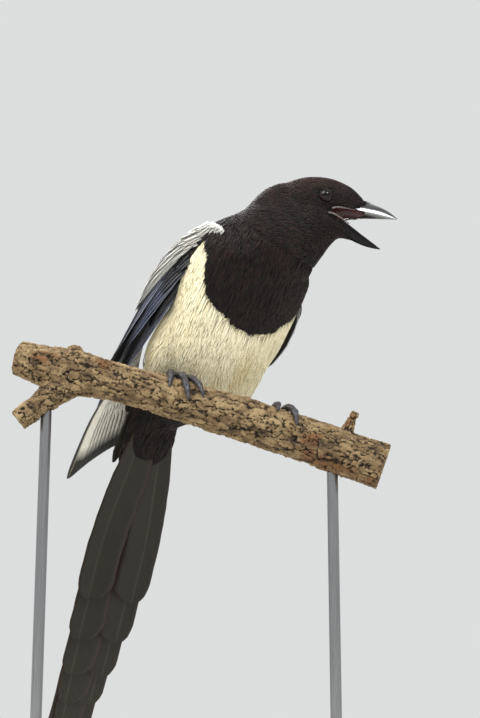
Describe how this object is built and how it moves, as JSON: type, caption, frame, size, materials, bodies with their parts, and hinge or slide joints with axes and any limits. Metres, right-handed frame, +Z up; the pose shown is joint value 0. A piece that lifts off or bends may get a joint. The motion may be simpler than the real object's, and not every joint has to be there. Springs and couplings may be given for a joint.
{
  "type": "eurasian magpie model",
  "caption": "Life-size still model of a Eurasian magpie calling with its bill open, gripping a short cut length of branch on a plain flat display stand.",
  "frame": {"origin": "centre of the stand base's underside, on the floor", "axes": "+Z up, the long way of the whole model; -Y towards the viewer of the picture; +X to the viewer's right, where the bill points"},
  "size_m": [0.246, 0.2182, 0.3688],
  "materials": {
    "black_feather": "matt black feathers with a brown and purple sheen",
    "white_feather": "soft cream-white feathers",
    "wing_feather": "glossy blue-black feathers with pale edges",
    "tail_feather": "dark olive-green feathers",
    "bill": "smooth black horn",
    "mouth": "moist dark red",
    "eye": "wet black-brown eye",
    "scales": "dark grey scales and claws",
    "bark": "flaking grey-brown bark with pale patches",
    "stand_wood": "dark stained wood, satin",
    "stand_steel": "brushed steel rod"
  },
  "bodies": {
    "root": {"torso": "white_feather", "neck": "black_feather", "head": "black_feather", "bill_upper": "bill", "bill_lower": "bill", "tongue": "mouth", "eye_right": "eye", "eye_left": "eye", "tail": "tail_feather", "wing_right": "wing_feather", "wing_left": "wing_feather", "scapulars_right": "white_feather", "scapulars_left": "white_feather", "thigh_right": "black_feather", "thigh_left": "black_feather", "tarsus_right": "scales", "tarsus_left": "scales", "foot_right": "scales", "foot_left": "scales", "perch": "bark", "stand_base": "stand_wood", "stand_rod_left": "stand_steel", "stand_rod_right": "stand_steel"}
  },
  "joints": []
}
